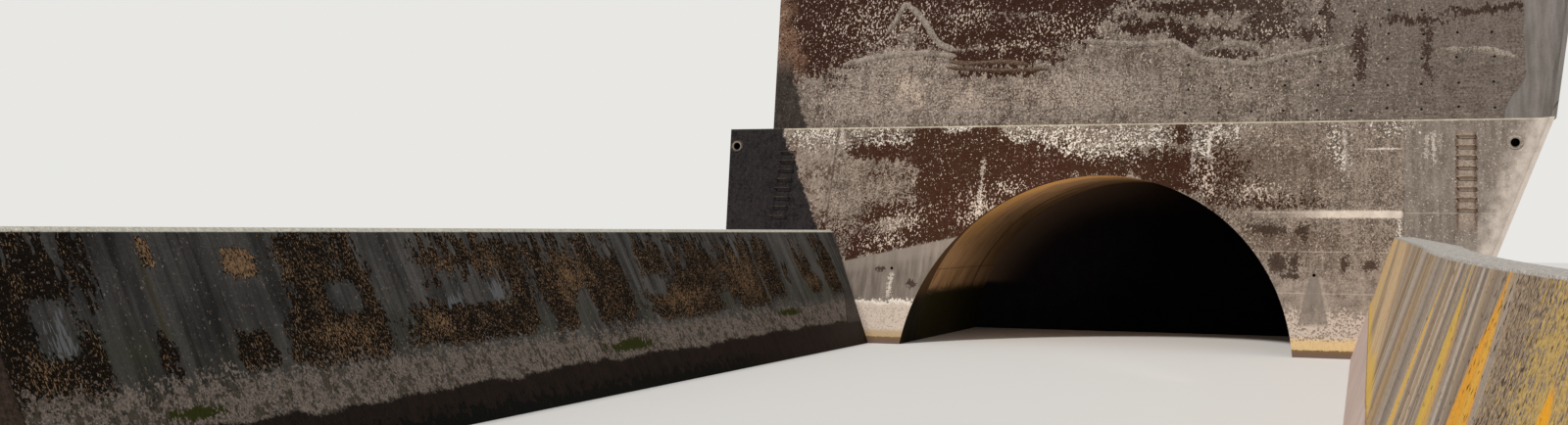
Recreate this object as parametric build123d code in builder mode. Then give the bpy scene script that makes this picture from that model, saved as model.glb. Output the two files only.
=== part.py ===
from build123d import *
from math import cos, radians, sin, tan
import os

os.makedirs("parts", exist_ok=True)

# Concrete culvert portal: a battered headwall with a set-back upper wall, the barrel's
# lining and the open approach channel. Millimetres, +Z up, +Y into the barrel.
# The origin is on the barrel's axis, in line with the toe of the face and at its level.

# Headwall
face_batter = 22.3                # degrees that the face leans back
head_height = 6340                # ledge above the toe of the face
head_joint_x = 8070               # pour joints either side of the arch
lift_level = 3800                 # lift joint that the spandrel stands on
ledge_width = 1000
left_end_foot_x = 10850
left_end_top_x = 11630
right_end_foot_x = 9100
right_end_top_x = 11620
cove_width = 330                  # curved return along the right end
cove_reach = 450
cove_nib = 120

# Upper wall
upper_top = 11000
upper_thickness = 600             # level thickness of the leaning slab
upper_left_foot_x = 10600
upper_left_top_x = 11100
upper_right_foot_x = 10600
upper_right_top_x = 11300
upper_cove_width = 1100
upper_cove_reach = 800

# Barrel
arch_radius = 5370
arch_centre_drop = 530            # springing centre below the toe of the face
lining_thickness = 500
lining_start = 1650               # front edge of the lining's side walls
lining_cover = 250                # headwall in front of the vault, along the axis
lining_side_level = 2100          # joint between side walls and vault
ring_joint = 6900
rear_length = 9300
bulkhead_thickness = 200
bulkhead_recess = 200
seat_gap = 0.3                    # round faces that meet

# Channel walls
channel_length = 30400            # from the toe of the face to the front ends
bay_count = 6
wall_top_width = 450
left_foot_x = 6270
left_wall_height = 3220
left_wall_batter = 1550           # level run of the battered face
arris = 75                        # bevel along the left wall's top
right_foot_x = 6790
right_wall_height = 3160
right_wall_batter = 1075
right_heading = 1.2               # degrees that the right wall opens towards the front
right_top_fall = 0.0023           # fall of the right wall's top towards the front
flare_radius = 24000              # plan radius of the top edge where the wall curves away
flare_angle = 20
flare_top_fall = 0.03
right_straight_bays = 4
flare_bays = 2

# Step irons
iron_x = 9600
iron_top_drop = 440               # from the ledge to the top rung
iron_pitch = 304.8                # along the face
iron_count = 8
iron_width = 457
iron_reach = 150
iron_bar = 25
iron_bar_sides = 6
iron_bend = 45
left_irons_lower = 1              # pitches that the left ladder starts lower

# Drain and weep pipes
drain_bore = 230
drain_wall = 35
drain_length = 700
drain_lip = 40
collar_width = 50
collar_height = 25
left_drain_inset = 235            # from the end of the flat face
left_drain_drop = 540             # from the ledge
right_drain_inset = 228
right_drain_drop = 660
weep_bore = 90
weep_wall = 12
weep_length = 500
weep_lip = 15
weep_x = 5840
weep_level = 2130

# Derived places
batter = radians(face_batter)
slope = tan(batter)
face_plane = Plane(origin=(0, 0, 0), x_dir=(1, 0, 0), z_dir=(0, -cos(batter), sin(batter)))
cover_plane = Plane(
    origin=(0, lining_cover, 0), x_dir=(1, 0, 0), z_dir=(0, -cos(batter), sin(batter))
)
ledge_front = head_height * slope
ledge_back = ledge_front + ledge_width
head_back = ledge_back + upper_thickness
seat_radius = arch_radius + lining_thickness + seat_gap
drain_radius = drain_bore / 2 + drain_wall
weep_radius = weep_bore / 2 + weep_wall
iron_top_level = head_height - iron_top_drop
iron_rise = iron_pitch * cos(batter)
bay_length = channel_length / bay_count


def end_x(level, foot_x, top_x):
    """Where the slanting end of the headwall stands at one level."""
    return foot_x + (top_x - foot_x) * level / head_height


left_drain_level = head_height - left_drain_drop
left_drain_x = end_x(left_drain_level, left_end_foot_x, left_end_top_x) - left_drain_inset
right_drain_level = head_height - right_drain_drop
right_drain_x = (
    end_x(right_drain_level, right_end_foot_x, right_end_top_x)
    - cove_width
    - right_drain_inset
)


def finish(piece, name):
    piece.part.label = name
    export_step(piece.part, f"parts/{name}.step")


def elevation(points, front):
    """An outline drawn in X and Z that stands at one place along the axis."""
    with BuildSketch(Plane.XZ.offset(-front)) as outline:
        with BuildLine():
            Polyline(*points, close=True)
        make_face()
    return outline.sketch


def disc(x, level, radius):
    with BuildSketch(Plane.XZ) as outline:
        with Locations((x, level)):
            Circle(radius)
    return outline.sketch


# The seat behind the mouth, wider by the lining's thickness
with BuildPart() as lining_seat:
    with BuildSketch(Plane.XZ.offset(-lining_start)):
        with Locations((0, -arch_centre_drop)):
            Circle(seat_radius)
    extrude(amount=lining_start - head_back - lining_cover)
    split(bisect_by=cover_plane, keep=Keep.BOTTOM)


def cut_arch():
    mouth = disc(0, -arch_centre_drop, arch_radius)
    extrude(mouth, amount=-head_back, mode=Mode.SUBTRACT)
    add(lining_seat.part, mode=Mode.SUBTRACT)


def cut_pipe_seat(x, level, radius, length):
    seat = disc(x, level, radius + seat_gap)
    extrude(seat, amount=-(level * slope + length), mode=Mode.SUBTRACT)


# Headwall below the ledge
with BuildPart() as left_end:
    outline = [
        (-head_joint_x, 0),
        (-head_joint_x, head_height),
        (-left_end_top_x, head_height),
        (-left_end_foot_x, 0),
    ]
    extrude(elevation(outline, 0), amount=-head_back)
    split(bisect_by=face_plane, keep=Keep.BOTTOM)
    cut_pipe_seat(-left_drain_x, left_drain_level, drain_radius, drain_length)
finish(left_end, "headwall_left_end")

for side, name in ((-1, "headwall_left_pier"), (1, "headwall_right_pier")):
    joint = side * head_joint_x
    with BuildPart() as pier:
        outline = [(0, 0), (0, lift_level), (joint, lift_level), (joint, 0)]
        extrude(elevation(outline, 0), amount=-head_back)
        split(bisect_by=face_plane, keep=Keep.BOTTOM)
        cut_arch()
        cut_pipe_seat(side * weep_x, weep_level, weep_radius, weep_length)
    finish(pier, name)

with BuildPart() as spandrel:
    outline = [
        (-head_joint_x, lift_level),
        (-head_joint_x, head_height),
        (head_joint_x, head_height),
        (head_joint_x, lift_level),
    ]
    extrude(elevation(outline, 0), amount=-head_back)
    split(bisect_by=face_plane, keep=Keep.BOTTOM)
    cut_arch()
finish(spandrel, "headwall_spandrel")

with BuildPart() as right_end:
    outline = [
        (head_joint_x, 0),
        (head_joint_x, head_height),
        (right_end_top_x - cove_width, head_height),
        (right_end_foot_x - cove_width, 0),
    ]
    extrude(elevation(outline, 0), amount=-head_back)
    split(bisect_by=face_plane, keep=Keep.BOTTOM)
    cut_pipe_seat(right_drain_x, right_drain_level, drain_radius, drain_length)
finish(right_end, "headwall_right_end")


def cove_return(foot_level, edge_x, front, depth, width, reach, rise):
    """A wall's end, whose face curves forward to a narrow nib, drawn up along its slant."""
    with BuildSketch(Plane.XY.offset(foot_level)) as section:
        with BuildLine():
            EllipticalCenterArc((edge_x - width, front - reach), width, reach, arc_size=90)
            Polyline(
                (edge_x, front - reach),
                (edge_x + cove_nib, front - reach),
                (edge_x + cove_nib, front + depth),
                (edge_x - width, front + depth),
                (edge_x - width, front),
            )
        make_face()
    extrude(section.sketch, amount=rise.length, dir=rise)


head_rise = Vector(right_end_top_x - right_end_foot_x, ledge_front, head_height)
with BuildPart() as right_return:
    cove_return(0, right_end_foot_x, 0, head_back, cove_width, cove_reach, head_rise)
    split(bisect_by=Plane.XZ.offset(-head_back), keep=Keep.TOP)
finish(right_return, "headwall_right_return")

# Upper wall, a leaning slab that stands on the back of the headwall
upper_rise = upper_top - head_height
upper_lean = upper_rise * slope
with BuildPart() as upper_wall:
    outline = [
        (-upper_left_foot_x, head_height),
        (-upper_left_top_x, upper_top),
        (upper_right_top_x, upper_top),
        (upper_right_foot_x, head_height),
    ]
    extrude(elevation(outline, ledge_back), amount=-(upper_thickness + upper_lean))
    split(bisect_by=face_plane.offset(-ledge_width * cos(batter)), keep=Keep.BOTTOM)
    split(
        bisect_by=face_plane.offset(-(ledge_width + upper_thickness) * cos(batter)),
        keep=Keep.TOP,
    )
finish(upper_wall, "upper_wall")

upper_rise_right = Vector(upper_right_top_x - upper_right_foot_x, upper_lean, upper_rise)
with BuildPart() as upper_return:
    cove_return(
        head_height,
        upper_right_foot_x + upper_cove_width,
        ledge_back,
        upper_thickness,
        upper_cove_width,
        upper_cove_reach,
        upper_rise_right,
    )
finish(upper_return, "upper_wall_right_return")


# Barrel lining: side walls and a vault in each ring
def lining(front, corner, size):
    """The part of the ring's section that lies in one rectangle of the elevation."""
    with BuildSketch(Plane.XZ.offset(-front)) as section:
        with Locations((0, -arch_centre_drop)):
            Circle(arch_radius + lining_thickness)
            Circle(arch_radius, mode=Mode.SUBTRACT)
        with Locations(corner):
            Rectangle(*size, align=(Align.MIN, Align.MIN), mode=Mode.INTERSECT)
    return section.sketch


rings = ((lining_start, ring_joint), (ring_joint, rear_length))
for number, (front, back) in enumerate(rings, start=1):
    for side, corner_x in (("left", -2 * arch_radius), ("right", 0)):
        with BuildPart() as side_wall:
            section = lining(front, (corner_x, 0), (2 * arch_radius, lining_side_level))
            extrude(section, amount=front - back)
            split(bisect_by=cover_plane, keep=Keep.BOTTOM)
        finish(side_wall, f"barrel_{number}_{side}_wall")
    with BuildPart() as vault:
        corner = (-2 * arch_radius, lining_side_level)
        section = lining(front, corner, (4 * arch_radius, 2 * arch_radius))
        extrude(section, amount=front - back)
        split(bisect_by=cover_plane, keep=Keep.BOTTOM)
    finish(vault, f"barrel_{number}_vault")

bulkhead_back = rear_length - bulkhead_recess
with BuildPart() as bulkhead:
    with BuildSketch(Plane.XZ.offset(bulkhead_thickness - bulkhead_back)):
        with Locations((0, -arch_centre_drop)):
            Circle(arch_radius - seat_gap)
        Rectangle(
            4 * arch_radius,
            2 * arch_radius,
            align=(Align.CENTER, Align.MIN),
            mode=Mode.INTERSECT,
        )
    extrude(amount=-bulkhead_thickness)
finish(bulkhead, "barrel_end_bulkhead")

# Left channel wall, straight bays that end against the face
left_top_x = left_foot_x + left_wall_batter
for bay in range(bay_count):
    front = -(bay + 1) * bay_length
    back = -bay * bay_length if bay else ledge_front
    with BuildPart() as left_bay:
        outline = [
            (-left_foot_x, 0),
            (-left_top_x, left_wall_height),
            (-left_top_x - wall_top_width, left_wall_height),
            (-left_top_x - wall_top_width, 0),
        ]
        extrude(elevation(outline, front), amount=front - back)
        split(bisect_by=face_plane, keep=Keep.TOP)
        top_edges = left_bay.edges().filter_by(Axis.Y).group_by(Axis.Z)[-1]
        chamfer(top_edges.sort_by(Axis.X)[-1], length=arris)
    finish(left_bay, f"left_wall_bay_{bay + 1}")

# Right channel wall, which opens a little and then curves away in a flare
heading = radians(right_heading)
flare_end = radians(right_heading + flare_angle)
foot_radius = flare_radius + right_wall_batter
flare_depth = foot_radius * (sin(flare_end) - sin(heading))
straight_length = (channel_length - flare_depth) / cos(heading)
right_bay_length = straight_length / right_straight_bays


def section_at(station, level=0):
    """Place and heading of the straight part's section, with x away from the channel."""
    return Plane(
        origin=(right_foot_x + station * sin(heading), -station * cos(heading), level),
        x_dir=(cos(heading), sin(heading), 0),
        z_dir=(sin(heading), -cos(heading), 0),
    )


def right_section(plane):
    with BuildSketch(plane) as section:
        with BuildLine():
            Polyline(
                (0, 0),
                (right_wall_batter, right_wall_height),
                (right_wall_batter + wall_top_width, right_wall_height),
                (right_wall_batter + wall_top_width, 0),
                close=True,
            )
        make_face()
    return section.sketch


def falling_top(station, level, fall):
    """The wall's top, which falls straight on from one station."""
    start = section_at(station, level)
    return Plane(origin=start.origin, z_dir=start.z_dir * fall + Vector(0, 0, 1))


right_top_plane = falling_top(0, right_wall_height, right_top_fall)
for bay in range(right_straight_bays):
    start = bay * right_bay_length if bay else -ledge_front
    with BuildPart() as right_bay:
        extrude(right_section(section_at(start)), amount=(bay + 1) * right_bay_length - start)
        split(bisect_by=face_plane, keep=Keep.TOP)
        split(bisect_by=right_top_plane, keep=Keep.BOTTOM)
    finish(right_bay, f"right_wall_bay_{bay + 1}")

flare_start = section_at(straight_length)
flare_axis = Axis(flare_start.origin + flare_start.x_dir * foot_radius, (0, 0, 1))
flare_level = right_wall_height - straight_length * right_top_fall
flare_top_plane = falling_top(straight_length, flare_level, flare_top_fall)
for bay in range(flare_bays):
    bay_angle = flare_angle / flare_bays
    with BuildPart() as flare:
        section = right_section(flare_start).rotate(flare_axis, bay * bay_angle)
        revolve(section, axis=flare_axis, revolution_arc=bay_angle)
        split(bisect_by=flare_top_plane, keep=Keep.BOTTOM)
    finish(flare, f"right_wall_flare_{bay + 1}")

# Step irons, bent bars whose legs end in the face
for side, name, lower in ((-1, "left", left_irons_lower), (1, "right", 0)):
    with BuildPart() as ladder:
        for step in range(iron_count):
            level = iron_top_level - (step + lower) * iron_rise
            face_y = level * slope
            near, far = face_y - iron_reach, face_y + iron_reach
            low_x, high_x = (side * iron_x + half * iron_width / 2 for half in (-1, 1))
            with BuildLine():
                bar = FilletPolyline(
                    (low_x, far, level),
                    (low_x, near, level),
                    (high_x, near, level),
                    (high_x, far, level),
                    radius=iron_bend,
                )
            with BuildSketch(Plane(origin=bar @ 0, z_dir=bar % 0)):
                RegularPolygon(iron_bar / 2, iron_bar_sides, major_radius=False)
            sweep()
        split(bisect_by=face_plane, keep=Keep.TOP)
    finish(ladder, f"step_irons_{name}")


# Pipes through the headwall, level, each standing out of the face by its lip
def pipe(x, level, bore, wall, length, lip):
    with BuildSketch(Plane.XZ.offset(lip - level * slope)) as ring:
        with Locations((x, level)):
            Circle(bore / 2 + wall)
            Circle(bore / 2, mode=Mode.SUBTRACT)
    extrude(ring.sketch, amount=-(length + lip))


for name, x, level in (
    ("left", -left_drain_x, left_drain_level),
    ("right", right_drain_x, right_drain_level),
):
    with BuildPart() as drain:
        pipe(x, level, drain_bore, drain_wall, drain_length, drain_lip)
    finish(drain, f"drain_pipe_{name}")
    with BuildPart() as collar:
        with BuildSketch(face_plane):
            with Locations((x, level / cos(batter))):
                Circle(drain_radius + collar_width)
        extrude(amount=collar_height)
        pipe_hole = disc(x, level, drain_radius + seat_gap)
        extrude(pipe_hole, amount=-head_back, mode=Mode.SUBTRACT)
    finish(collar, f"drain_collar_{name}")

for side, name in ((-1, "left"), (1, "right")):
    with BuildPart() as weep:
        pipe(side * weep_x, weep_level, weep_bore, weep_wall, weep_length, weep_lip)
    finish(weep, f"weep_pipe_{name}")
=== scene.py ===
import math
import random

import bmesh
import bpy
from mathutils import Matrix, Vector


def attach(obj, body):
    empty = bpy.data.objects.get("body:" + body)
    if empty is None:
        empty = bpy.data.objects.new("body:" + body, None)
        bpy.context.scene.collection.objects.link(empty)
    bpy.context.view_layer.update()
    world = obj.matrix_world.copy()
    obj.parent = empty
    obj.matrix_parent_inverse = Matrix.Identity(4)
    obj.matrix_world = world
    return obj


# The looks of a concrete culvert headwall. Metres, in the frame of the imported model:
# the origin is on the barrel's axis at the level of the toe, +X right, +Y into the barrel, +Z up.

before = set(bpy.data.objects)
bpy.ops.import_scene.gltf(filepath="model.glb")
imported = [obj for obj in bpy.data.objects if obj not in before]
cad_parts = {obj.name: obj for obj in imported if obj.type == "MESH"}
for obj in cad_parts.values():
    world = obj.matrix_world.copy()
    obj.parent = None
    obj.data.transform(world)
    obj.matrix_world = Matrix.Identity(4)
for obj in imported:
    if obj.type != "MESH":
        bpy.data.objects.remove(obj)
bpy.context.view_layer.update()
random.seed(7)

# Sizes that the looks follow
SLOPE = math.tan(math.radians(22.3))
LEDGE_LEVEL = 6.34
LEDGE_WIDTH = 1.0
JOINT_X = 8.07
LIFT_LEVELS = (1.65, 2.75, 3.8)
ARCH_RADIUS = 5.37
ARCH_CENTRE = -0.53
RING_JOINT = 6.9
BARREL_END = 9.3
IRON_X = 9.6
IRON_TOP = 5.9
IRON_PITCH = 0.282                # between the rungs, upright
WEEP_X = 5.84
WEEP_LEVEL = 2.13
REPAIR_X = 10.6                   # where the smooth repair of the upper wall begins
LEFT_FOOT_X = -6.27
LEFT_BATTER = 0.4814
LEFT_BEVEL_LEVEL = 3.155
LEFT_BACK_X = -8.25
LEFT_NEAR_END = -30.4
RIGHT_FOOT_X = 6.79
RIGHT_HEIGHT = 3.16
RIGHT_HEADING = math.radians(1.2)
RIGHT_TOP_FALL = 0.0023
FLARE_START = 21.862              # along the foot of the right wall
FLARE_FOOT_RADIUS = 25.075
FLARE_TOP_FALL = 0.03
RIGHT_BACK = 1.49                 # inland from the foot of the right wall
RIGHT_NEAR_END = 30.6             # along its foot
STREAK_TOP = 2.65                 # on the right wall
SIDE_WALL_TOP = 2.1               # of the barrel
TIDE_LEVEL = 1.2


def tone(red, green, blue):
    """A colour as it shows on a screen, made linear."""
    parts = []
    for part in (red, green, blue):
        share = part / 255
        parts.append(share / 12.92 if share < 0.04045 else ((share + 0.055) / 1.055) ** 2.4)
    return (*parts, 1.0)


def is_field(value):
    return isinstance(value, bpy.types.NodeSocket)


def feed(inlet, value):
    """Link a field to the input of a node, or set a plain value there."""
    if is_field(value):
        inlet.id_data.links.new(value, inlet)
    else:
        inlet.default_value = value


def node(kind, inputs, output=0, tree=None, **settings):
    """One output of a new node, in the tree of the fields that feed it or in the given one."""
    tree = tree or next(value.id_data for value in inputs.values() if is_field(value))
    made = tree.nodes.new(kind)
    for key, value in settings.items():
        setattr(made, key, value)
    for key, value in inputs.items():
        feed(made.inputs[key], value)
    return made.outputs[output]


# A field is an output of a node: a value at every point of the surface
def maths(operation, first, second=0.0, third=0.0, tree=None):
    inputs = {0: first, 1: second, 2: third}
    return node("ShaderNodeMath", inputs, tree=tree, operation=operation)


def add(first, second):
    return maths("ADD", first, second)


def less(first, second):
    return maths("SUBTRACT", first, second)


def times(*fields):
    product = fields[0]
    for field in fields[1:]:
        product = maths("MULTIPLY", product, field)
    return product


def either(*fields):
    most = fields[0]
    for field in fields[1:]:
        most = maths("MAXIMUM", most, field)
    return most


def without(field, hole):
    return times(field, less(1.0, hole))


def along(field, factor, offset=0.0):
    return maths("MULTIPLY_ADD", field, factor, offset)


def fray(field, noise, width):
    """The field, moved to and fro over that width by a noise, so that its edge frays."""
    return add(field, along(noise, width, -width / 2))


def point(u, v, w=0.0):
    return node("ShaderNodeCombineXYZ", {0: u, 1: v, 2: w})


def distance(u, v):
    return maths("SQRT", add(times(u, u), times(v, v)))


def ramp(value, low, high, at_low=0.0, at_high=1.0, **settings):
    inputs = {0: value, 1: low, 2: high, 3: at_low, 4: at_high}
    return node("ShaderNodeMapRange", inputs, **settings)


def above(value, edge, soft):
    """0 well under the edge, 1 well over it."""
    return ramp(value, edge - soft, edge + soft, interpolation_type="SMOOTHSTEP")


def below(value, edge, soft):
    return ramp(value, edge - soft, edge + soft, 1.0, 0.0, interpolation_type="SMOOTHSTEP")


def band(value, low, high, soft):
    return times(above(value, low, soft), below(value, high, soft))


def line(value, centre, half, soft):
    return below(maths("ABSOLUTE", add(value, -centre)), half, soft)


def blend(amount, under, over):
    """From one colour to another; each is a field, or red, green and blue on a screen."""
    under, over = (each if is_field(each) else tone(*each) for each in (under, over))
    inputs = {0: amount, 6: under, 7: over}
    return node("ShaderNodeMix", inputs, output=2, data_type="RGBA")


def shade(colour, factor):
    """A colour made darker or lighter by a field."""
    inputs = {0: 1.0, 6: colour, 7: point(factor, factor, factor)}
    return node("ShaderNodeMix", inputs, output=2, data_type="RGBA", blend_type="MULTIPLY")


class Paint:
    """A material whose colour, roughness and relief are fields over the model's frame.

    On a battered face the noises lean with it, so that their streaks fall straight down:
    lean_x and lean_y say how far the face's x and y have to be moved for each metre of height.
    reach is the stretch (from u, to u, from v, to v) of the face that this piece covers: ovals
    too far from it are left out, because a shader holds only so many of them.
    """

    def __init__(self, name, lean_x=0.0, lean_y=0.0, reach=None):
        self.reach = reach
        self.colour = None
        self.material = bpy.data.materials.new(name)
        self.material.use_nodes = True
        self.nodes = self.material.node_tree.nodes
        self.inlets = self.nodes["Principled BSDF"].inputs
        split = self.nodes.new("ShaderNodeSeparateXYZ")
        feed(split.inputs[0], self.nodes.new("ShaderNodeTexCoord").outputs["Object"])
        self.axes = self.x, self.y, self.z = split.outputs
        self.place = point(along(self.z, lean_x, self.x), along(self.z, lean_y, self.y), self.z)

    def lay(self, over, *fields):
        """Lay a colour over what is painted so far, as strongly as the fields together say."""
        self.colour = blend(times(*fields), self.colour, over)

    def shade(self, factor):
        self.colour = shade(self.colour, factor)

    def noise(self, size, detail=3.0, down=1, across=1, seed=0, place=None):
        """Cloudy noise from 0 to 1, its grain size metres wide, drawn out down or across the face.

        place is a point (u, v) of the unrolled face, or none for the model's frame.
        """
        stretch = (across, down, 1) if place else (across, 1, down)
        inputs = {
            "Vector": place or self.place,
            "Scale": [1 / (size * part) for part in stretch],
            "Location": (seed, seed / 2, -seed),
        }
        moved = node("ShaderNodeMapping", inputs)
        inputs = {"Vector": moved, "Scale": 1.0, "Detail": detail, "Roughness": 0.6}
        return ramp(node("ShaderNodeTexNoise", inputs), 0.3, 0.7)

    def speckle(self, cover, size, seed, down=1, place=None, soft=0.06, detail=2.0):
        """1 in spots of that grain, which fill as much of the surface as the cover says."""
        chance = self.noise(size, detail, down, seed=seed, place=place)
        return above(less(along(cover, 0.8, 0.1), chance), 0.0, soft)

    def patches(self, place, spots, square=False):
        """Over 0 inside any oval (u, v, half width, half height, its lean in degrees if any)."""
        nearest = None
        for u, v, half_u, half_v, *lean in spots:
            if self.reach:
                far_u = max(self.reach[0] - u, u - self.reach[1]) > 0.3 + 1.6 * half_u
                far_v = max(self.reach[2] - v, v - self.reach[3]) > 0.15 + 1.6 * half_v
                if far_u or far_v:
                    continue
            inputs = {
                "Vector": place,
                "Location": (u, v, 0),
                "Rotation": (0, 0, math.radians(lean[0]) if lean else 0),
                "Scale": (half_u, half_v, 1),
            }
            moved = node("ShaderNodeMapping", inputs, vector_type="TEXTURE")
            if square:
                moved = node("ShaderNodeVectorMath", {0: moved, 1: moved}, operation="MULTIPLY")
            far = node("ShaderNodeVectorMath", {0: moved}, output=1, operation="LENGTH")
            nearest = far if nearest is None else maths("MINIMUM", nearest, far)
        if nearest is None:
            return maths("ADD", -9.0, tree=place.id_data)
        if square:
            nearest = maths("SQRT", nearest)
        return less(1.0, nearest)

    def finish(self, roughness, height, depth):
        """height runs from 0 to 1, depth is what 1 stands for in metres."""
        feed(self.inlets["Base Color"], self.colour)
        feed(self.inlets["Roughness"], roughness)
        feed(self.inlets["Normal"], node("ShaderNodeBump", {"Height": height, "Distance": depth}))
        feed(self.inlets["Specular IOR Level"], 0.08)
        return self.material


LIME = (224, 212, 198)
BACK_GREY = (142, 136, 128)


def concrete_base(paint, dark=(98, 91, 84), pale=BACK_GREY):
    """Colour and height of concrete with fine specks, lumps and streaks down it."""
    lumps = paint.noise(0.45, 4.0, seed=1.7)
    fine = paint.noise(0.042, seed=9.3)
    streak = paint.noise(0.12, down=8, seed=8.4)
    mixed = add(add(times(lumps, 0.25), times(fine, 0.55)), times(streak, 0.2))
    colour = blend(above(mixed, 0.5, 0.2), dark, pale)
    height = add(times(fine, 0.6), times(paint.noise(0.02, 2.0), 0.4))
    return colour, height


def low_stains(paint, face, lumps, drip):
    """The smooth pour, the paler stretch and the stains low on the piers and ends."""
    x, z = paint.x, paint.z

    # The smooth pour on the left: the growth stops at its edge
    smooth_top = along(x, 0.22, 3.93)
    smooth = times(below(less(z, smooth_top), 0.0, 0.03), below(x, 0.0, 0.1), face)
    grey = blend(drip, (96, 86, 78), (138, 126, 116))
    crown = above(less(z, smooth_top), -0.35, 0.15)
    paint.lay(blend(times(crown, 0.4), grey, (150, 138, 128)), smooth, 0.95)

    # Paler low on the right, with dark stains in clusters
    low_right = times(below(z, 2.3, 0.7), above(x, 4.0, 0.2), face)
    paint.lay(blend(above(lumps, 0.5, 0.4), (120, 108, 98), (176, 162, 150)), low_right, 0.45)
    stains = (
        (4.55, 3.33, 0.55, 0.18, -6), (5.57, 3.25, 0.12, 0.28), (4.9, 2.45, 0.28, 0.32, 20),
        (5.33, 2.42, 0.18, 0.28), (6.6, 2.45, 0.12, 0.28), (7.2, 2.4, 0.24, 0.16, 10),
        (5.25, 2.1, 0.2, 0.1), (-6.15, 2.1, 0.14, 0.08), (-5.2, 1.7, 0.16, 0.14),
    )
    near = point(fray(x, lumps, 0.3), z)
    stain = paint.speckle(along(paint.patches(near, stains), 1.0, 0.4), 0.045, seed=51, detail=3.0)
    paint.lay((54, 38, 29), stain, face, 0.85)


def ladder_marks(paint, face, grit):
    """Rust and pale rubbed concrete behind the step irons, and painted shadow under each rung."""
    x, z = paint.x, paint.z
    ladder = maths("ABSOLUTE", less(maths("ABSOLUTE", x), IRON_X))
    strip = times(below(ladder, 0.2, 0.03), band(z, 3.4, 6.0, 0.2), face)
    paint.lay(blend(grit, (128, 110, 94), (186, 169, 152)), strip, above(x, 0.0, 0.1), 0.6)
    # Painted shadow: a dark band just under each rung
    below_rung = maths("FRACT", along(z, 1 / IRON_PITCH, -IRON_TOP / IRON_PITCH))
    painted_rung_shadow = times(above(below_rung, 0.74, 0.08), below(ladder, 0.24, 0.02), face)
    painted_rung_shadow = times(painted_rung_shadow, band(z, 3.85, 5.9, 0.03), along(grit, 0.5, 0.5))
    paint.lay((72, 52, 40), painted_rung_shadow, 0.8)
    rust_edge = line(fray(ladder, grit, 0.1), 0.22, 0.03, 0.04)
    rust_edge = times(rust_edge, band(z, 3.3, 5.95, 0.3), face)
    paint.lay((88, 62, 46), rust_edge, 0.85)


def tide_marks(paint, face, lumps, grit, drip):
    """The run below the right weep hole and the tide marks, which lie over the joints."""
    x, z = paint.x, paint.z

    # A smooth grey run, pale at its sides
    fall = less(WEEP_LEVEL, z)
    half_run = along(fall, 0.22, 0.1)
    aside = maths("ABSOLUTE", along(x, 1.0, -WEEP_X))
    within = less(half_run, aside)
    reach = times(band(fall, 0.05, 1.3, 0.08), face)
    rim = times(line(within, -0.04, 0.045, 0.03), reach, along(lumps, 0.8, 0.2))
    paint.lay((176, 163, 150), rim, 0.5)

    # Tide marks: pale silt with a fuzzy top, an algae line and the wet foot
    ragged = fray(fray(z, lumps, 0.16), grit, 0.2)
    left_side = below(x, 0, 0.1)
    silt_left = times(below(ragged, TIDE_LEVEL + 0.02, 0.05), left_side)
    cover = ramp(z, 1.45, 0.95, -0.2, 0.9)
    silt_right = without(paint.speckle(cover, 0.06, seed=55), left_side)
    silt = times(add(silt_left, silt_right), face)
    silt_tone = blend(above(x, 0.0, 0.1), (208, 191, 176), (198, 181, 167))
    silt_dark = blend(left_side, (132, 116, 103), (178, 162, 148))
    paint.lay(blend(above(grit, 0.62, 0.12), silt_tone, silt_dark), silt, 0.92)
    mark = times(line(ragged, TIDE_LEVEL - 0.04, 0.04, 0.03), left_side)
    paint.lay((236, 228, 218), mark, face, 0.85)
    inner = times(above(within, 0.0, 0.03), reach)
    paint.lay(blend(drip, (108, 99, 91), (136, 125, 115)), inner, 0.8)
    algae_line = fray(z, grit, 0.14)
    algae_high = along(left_side, -0.1, 0.46)
    algae = times(below(less(algae_line, algae_high), 0.0, 0.05), face)
    paint.lay(blend(left_side, (214, 182, 128), (176, 148, 106)), algae, 0.8)
    foot = times(below(fray(z, grit, 0.04), 0.19, 0.015), face)
    paint.lay(blend(above(z, 0.13, 0.03), (110, 90, 78), (118, 94, 60)), foot)


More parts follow.
